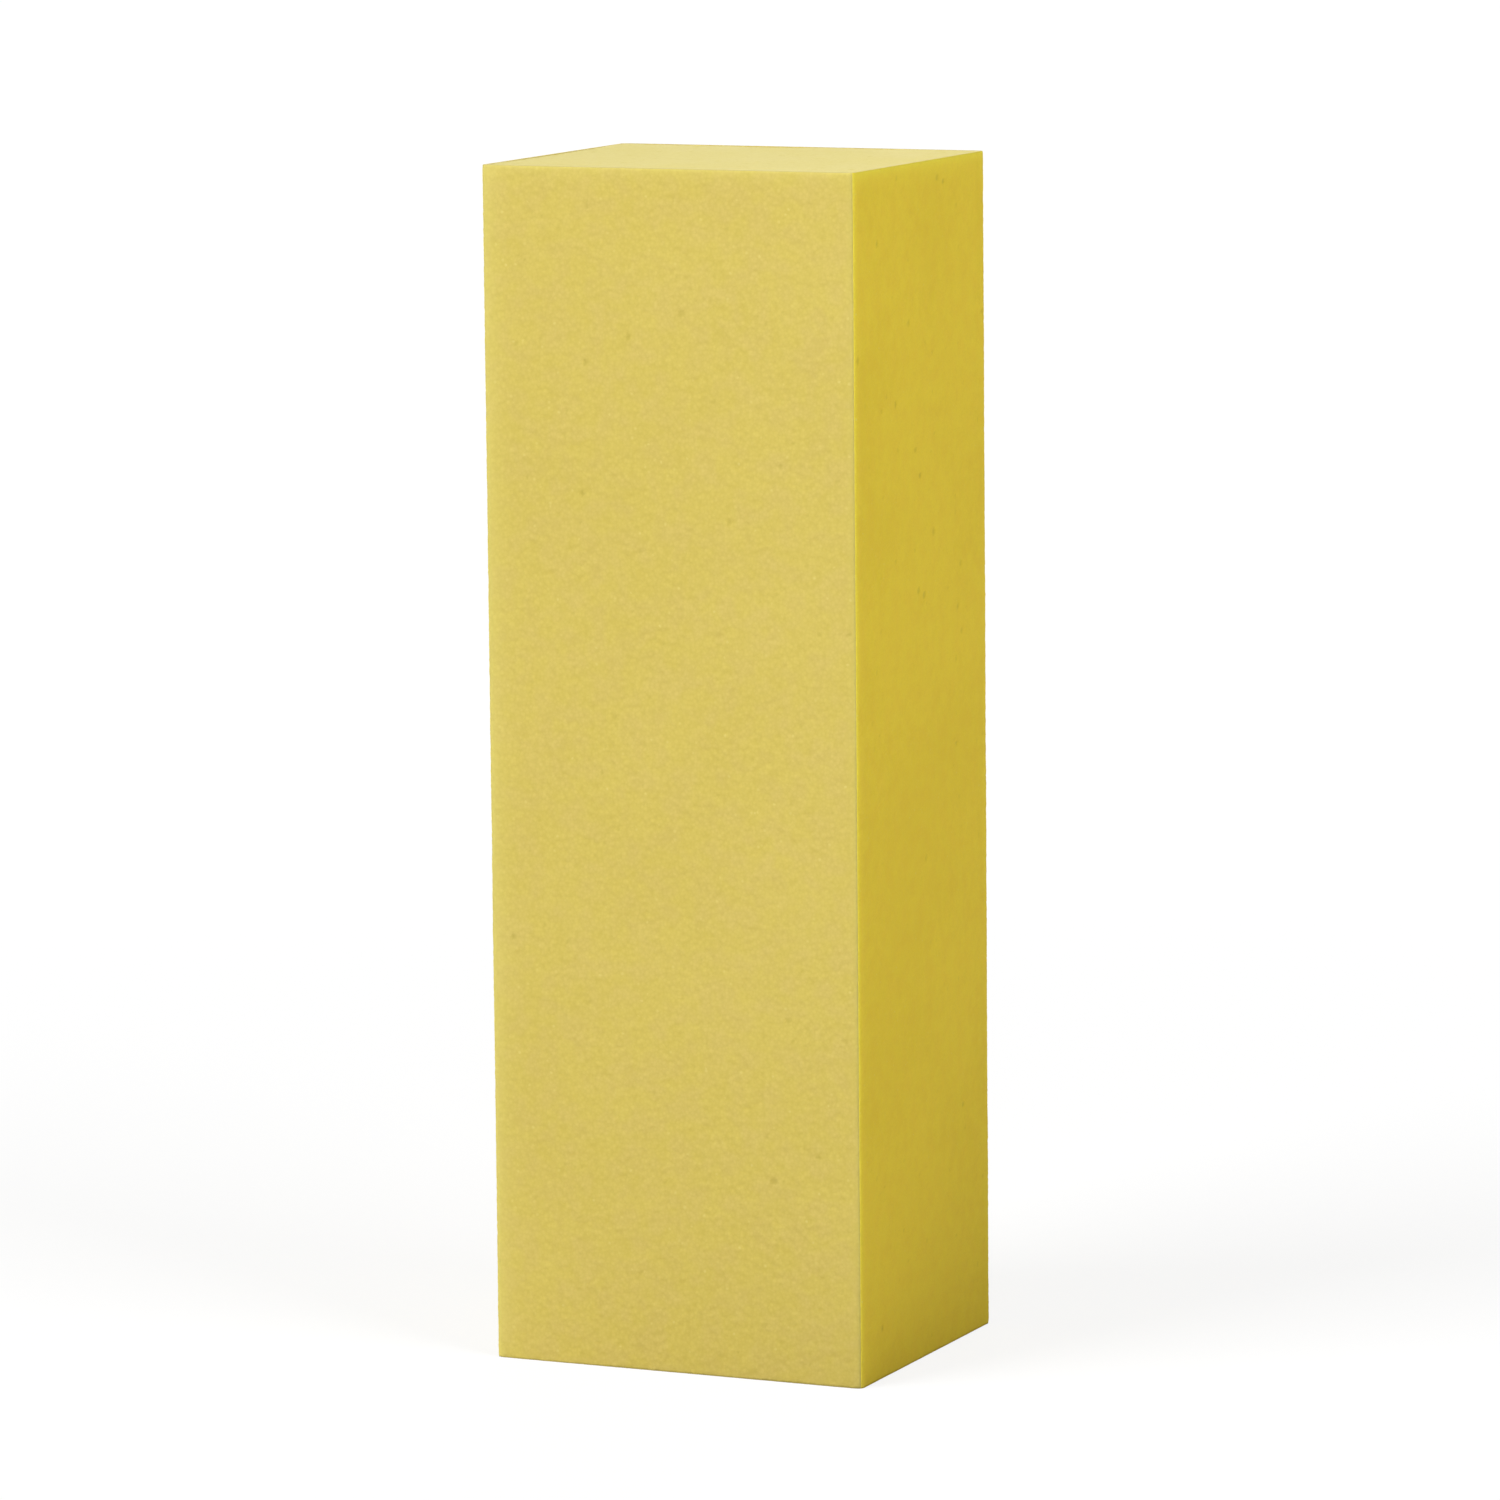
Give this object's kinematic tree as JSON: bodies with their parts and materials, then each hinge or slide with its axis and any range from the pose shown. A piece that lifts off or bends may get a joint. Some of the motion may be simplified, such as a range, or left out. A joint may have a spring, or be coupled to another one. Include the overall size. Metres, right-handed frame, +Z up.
{
  "type": "nail buffer block",
  "caption": "Rectangular foam block with an abrasive skin on each long face, coarser at front and rear, for shaping and buffing nails by hand.",
  "frame": {"origin": "centre of the lower end face", "axes": "+Z up the block's length to the upper end face, +X to the right fine face, -Y to the front coarse face"},
  "size_m": [0.03, 0.025, 0.09],
  "materials": {
    "foam": "matte closed-cell foam",
    "make_coat_resin": "matte",
    "coarse_grit": "matte, coarse grains",
    "fine_grit": "matte, fine grains",
    "size_coat_resin": "matte"
  },
  "bodies": {
    "root": {"foam_core": "foam", "front_make_coat": "make_coat_resin", "front_grit_layer": "coarse_grit", "front_size_coat": "size_coat_resin", "rear_make_coat": "make_coat_resin", "rear_grit_layer": "coarse_grit", "rear_size_coat": "size_coat_resin", "left_make_coat": "make_coat_resin", "left_grit_layer": "fine_grit", "left_size_coat": "size_coat_resin", "right_make_coat": "make_coat_resin", "right_grit_layer": "fine_grit", "right_size_coat": "size_coat_resin"}
  },
  "joints": []
}
